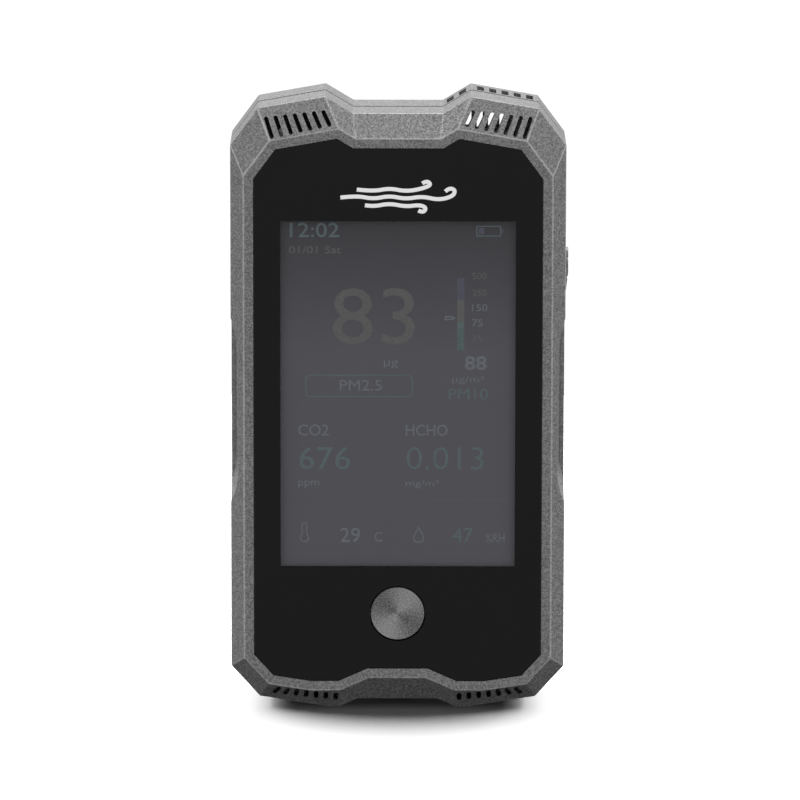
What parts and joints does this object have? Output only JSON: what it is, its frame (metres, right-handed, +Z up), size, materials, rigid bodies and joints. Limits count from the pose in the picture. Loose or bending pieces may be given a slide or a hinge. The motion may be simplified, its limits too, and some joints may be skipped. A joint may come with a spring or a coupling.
{
  "type": "air quality monitor",
  "caption": "Slim upright handheld instrument with a glass front over a display, a round button, vented corners, finger scoops and a side key.",
  "frame": {"origin": "on the surface it stands on, below the middle of the case", "axes": "+Z up along the case's length, -Y out of the display, +X towards the side with the power key"},
  "size_m": [0.0708, 0.025, 0.13],
  "materials": {
    "case_silver": "fine metallic silver-grey paint on moulded plastic, satin",
    "glass_tint": "dark glossy cover glass, clear over the display",
    "adhesive_black": "black double-sided tape",
    "display_glass": "display cell, dim grey when seen from the front",
    "backlight_tray": "white moulded tray with a reflector",
    "foam_black": "open-cell black foam",
    "polyimide_amber": "amber flexible circuit",
    "connector_plastic": "ivory connector plastic",
    "connector_black": "black connector plastic",
    "spun_metal": "spun aluminium with a circular brushed grain",
    "switch_metal": "stamped steel switch cover",
    "switch_plunger": "black switch plunger",
    "key_metal": "silver-grey paint on moulded plastic, satin",
    "board_green": "green solder mask",
    "insert_brass": "knurled brass",
    "screw_black": "black oxide steel",
    "screw_steel": "zinc-plated steel",
    "socket_steel": "stamped, tin-plated steel",
    "buzzer_black": "black moulded plastic",
    "chip_black": "black chip resin",
    "ferrite_grey": "dark grey ferrite",
    "battery_foil": "silver pouch foil",
    "tape_white": "white tape",
    "lead_red": "red insulation",
    "lead_black": "black insulation",
    "sensor_black": "black moulded plastic",
    "lid_steel": "stamped steel lid",
    "fan_black": "black moulded plastic",
    "laser_brass": "brass laser barrel",
    "cell_gold": "gold-plated cell cover",
    "can_steel": "steel sensor can",
    "mesh_black": "black woven mesh",
    "label_grey": "plain grey polyester label"
  },
  "bodies": {
    "case": {"air_filter": "foam_black", "battery": "battery_foil", "battery_lead_black": "lead_black", "battery_lead_red": "lead_red", "battery_plug": "connector_plastic", "battery_socket": "connector_plastic", "battery_tape": "tape_white", "board_screws": "screw_steel", "buzzer": "buzzer_black", "carbon_board": "board_green", "carbon_dioxide_sensor": "cell_gold", "carbon_membrane": "tape_white", "carbon_pins": "connector_black", "case_inserts": "insert_brass", "case_screws": "screw_black", "climate_sensor": "chip_black", "display_backlight": "backlight_tray", "display_flex": "polyimide_amber", "display_foam": "foam_black", "display_panel": "display_glass", "display_socket": "connector_plastic", "dust_header": "connector_black", "dust_sensor_case": "sensor_black", "dust_sensor_lid": "lid_steel", "fan_stator": "sensor_black", "formaldehyde_sensor": "can_steel", "front_bezel": "case_silver", "front_glass": "glass_tint", "gas_board": "board_green", "gas_lead": "polyimide_amber", "glass_adhesive": "adhesive_black", "home_switch": "switch_metal", "key_board": "board_green", "key_switch": "switch_metal", "laser_diode": "laser_brass", "main_board": "board_green", "microcontroller": "chip_black", "optics_board": "board_green", "power_inductor": "ferrite_grey", "rear_cover": "case_silver", "rear_label": "label_grey", "usb_socket": "socket_steel", "vent_mesh_left": "mesh_black", "vent_mesh_right": "mesh_black"},
    "home_key": {"home_button": "spun_metal", "home_switch_plunger": "switch_plunger"},
    "side_key": {"power_key": "key_metal", "key_switch_plunger": "switch_plunger"},
    "fan": {"fan_rotor": "fan_black"}
  },
  "joints": [
    {"name": "home_press", "type": "slide", "parent": "case", "child": "home_key", "axis": [0, 1, 0], "range_m": [0, 0.0003], "stiffness_N_per_m": 4000},
    {"name": "side_press", "type": "slide", "parent": "case", "child": "side_key", "axis": [-1, 0, 0], "range_m": [0, 0.0003], "stiffness_N_per_m": 4000},
    {"name": "fan_spin", "type": "hinge", "parent": "case", "child": "fan", "pos_m": [0.0092, 0.0021, 0.0905], "axis": [0, 1, 0], "continuous": true}
  ]
}
